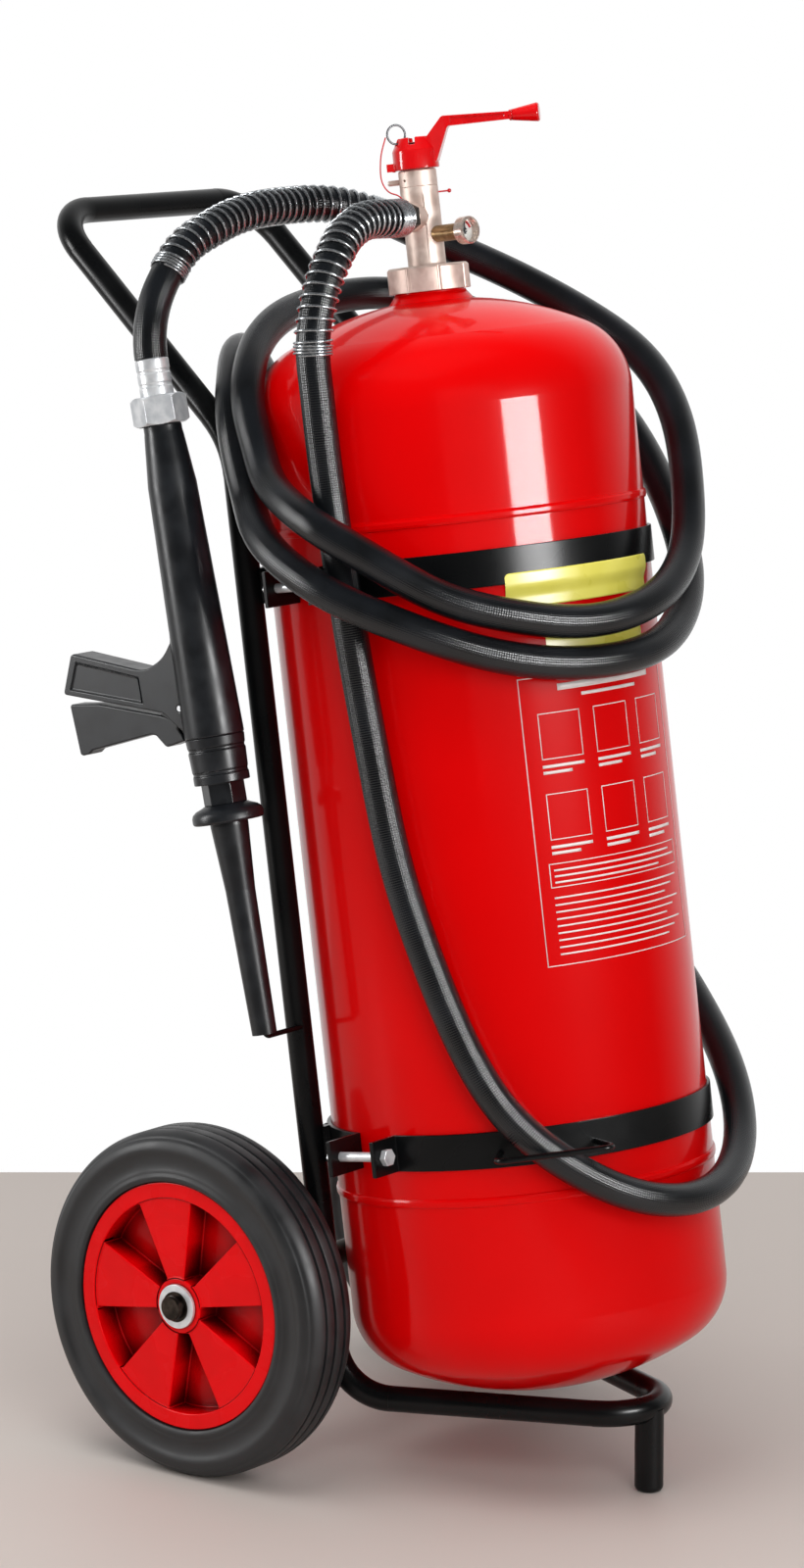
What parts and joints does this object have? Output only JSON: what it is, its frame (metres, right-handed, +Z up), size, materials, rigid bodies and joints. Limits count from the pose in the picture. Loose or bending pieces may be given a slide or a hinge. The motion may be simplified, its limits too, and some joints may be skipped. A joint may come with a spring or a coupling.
{
  "type": "wheeled fire extinguisher",
  "caption": "Large pressure vessel strapped to a two-wheeled tubular trolley, with quarter-turn valve, gauge, coiled hose and trigger-operated discharge gun.",
  "frame": {"origin": "on the floor under the middle of the object", "axes": "+Z up, front foot toward -Y, handle toward +Y, axle along X"},
  "size_m": [0.452, 0.6173, 1.1559],
  "materials": {
    "red_enamel": "gloss red enamel",
    "black_paint": "satin black powder coat",
    "nickel": "nickel-plated brass",
    "steel": "zinc-plated steel",
    "dark_steel": "black oxide",
    "spring_steel": "galvanised wire",
    "brass": "plain brass",
    "black_rubber": "matt black",
    "tyre": "dark grey rubber",
    "red_plastic": "gloss red",
    "black_plastic": "satin black",
    "white_plastic": "white",
    "lens": "clear",
    "lever_red": "gloss red on cast aluminium"
  },
  "bodies": {
    "trolley": {"tank_shell": "red_enamel", "top_head": "red_enamel", "bottom_head": "red_enamel", "neck_ring": "red_enamel", "dip_tube": "steel", "dip_strainer": "steel", "collar_nut": "nickel", "valve_body": "nickel", "neck_o_ring": "black_rubber", "valve_bonnet": "nickel", "spindle_o_ring": "black_rubber", "stop_peg": "nickel", "pin_tether": "red_plastic", "seal_tag": "red_plastic", "gauge_stem": "brass", "gauge_case": "nickel", "gauge_dial": "white_plastic", "gauge_lens": "lens", "outlet_nipple": "dark_steel", "hose": "black_rubber", "outlet_guard_spring": "spring_steel", "gun_guard_spring": "spring_steel", "hose_ferrule": "steel", "hose_nut": "steel", "gun_body": "black_plastic", "trigger_pin": "steel", "gun_collar": "black_plastic", "gun_flange": "black_plastic", "gun_nozzle": "black_plastic", "handle_tube": "black_paint", "base_tube": "black_paint", "front_foot": "black_paint", "axle": "dark_steel", "left_axle_bracket": "black_paint", "right_axle_bracket": "black_paint", "axle_spacers": "steel", "hub_washers": "steel", "axle_clips": "dark_steel", "upper_rear_bracket": "black_paint", "lower_rear_bracket": "black_paint", "upper_strap": "black_paint", "lower_strap": "black_paint", "clamp_bolts": "steel", "clamp_nuts": "steel", "hose_hook": "black_paint", "nozzle_hook": "black_paint"},
    "lever": {"release_lever": "lever_red", "lever_screw": "steel", "spindle": "steel"},
    "plug": {"valve_plug": "brass", "seat_washer": "black_rubber"},
    "safety_pin": {"safety_pin": "steel", "pin_ring": "steel"},
    "gauge_needle": {"gauge_needle": "black_plastic"},
    "gun_trigger": {"gun_trigger": "black_plastic"},
    "gun_valve_stem": {"gun_valve_stem": "steel"},
    "left_wheel": {"left_rim": "red_plastic", "left_tyre": "tyre"},
    "right_wheel": {"right_rim": "red_plastic", "right_tyre": "tyre"}
  },
  "joints": [
    {"name": "release_lever_turn", "type": "hinge", "parent": "trolley", "child": "lever", "pos_m": [0, -0.00485, 1.11108], "axis": [0, 0.1392, 0.9903], "range_deg": [0, 90]},
    {"name": "valve_plug_lift", "type": "slide", "parent": "trolley", "child": "plug", "axis": [0, 0.1392, 0.9903], "range_m": [0, 0.004]},
    {"name": "safety_pin_pull", "type": "slide", "parent": "lever", "child": "safety_pin", "axis": [0, 0.1392, 0.9903], "range_m": [0, 0.04]},
    {"name": "gauge_needle_turn", "type": "hinge", "parent": "trolley", "child": "gauge_needle", "pos_m": [-0.00487, -0.06007, 1.05118], "axis": [-0.1045, -0.9848, 0.1384], "range_deg": [-60, 60]},
    {"name": "trigger_squeeze", "type": "hinge", "parent": "trolley", "child": "gun_trigger", "pos_m": [-0.184, 0.09047, 0.65855], "axis": [1, 0, 0], "range_deg": [0, 10], "stiffness_Nm_per_rad": 8, "springref_deg": -2.86},
    {"name": "gun_valve_stem_push", "type": "slide", "parent": "trolley", "child": "gun_valve_stem", "axis": [0, -0.2079, -0.9781], "range_m": [0, 0.0036]},
    {"name": "left_wheel_spin", "type": "hinge", "parent": "trolley", "child": "left_wheel", "pos_m": [0.189, 0.0815, 0.15], "axis": [1, 0, 0], "continuous": true},
    {"name": "right_wheel_spin", "type": "hinge", "parent": "trolley", "child": "right_wheel", "pos_m": [-0.189, 0.0815, 0.15], "axis": [1, 0, 0], "continuous": true}
  ],
  "couplings": [
    {"joint": "valve_plug_lift", "follows": "release_lever_turn", "m_per_rad": 0.002546},
    {"joint": "gun_valve_stem_push", "follows": "trigger_squeeze", "m_per_rad": 0.02}
  ]
}
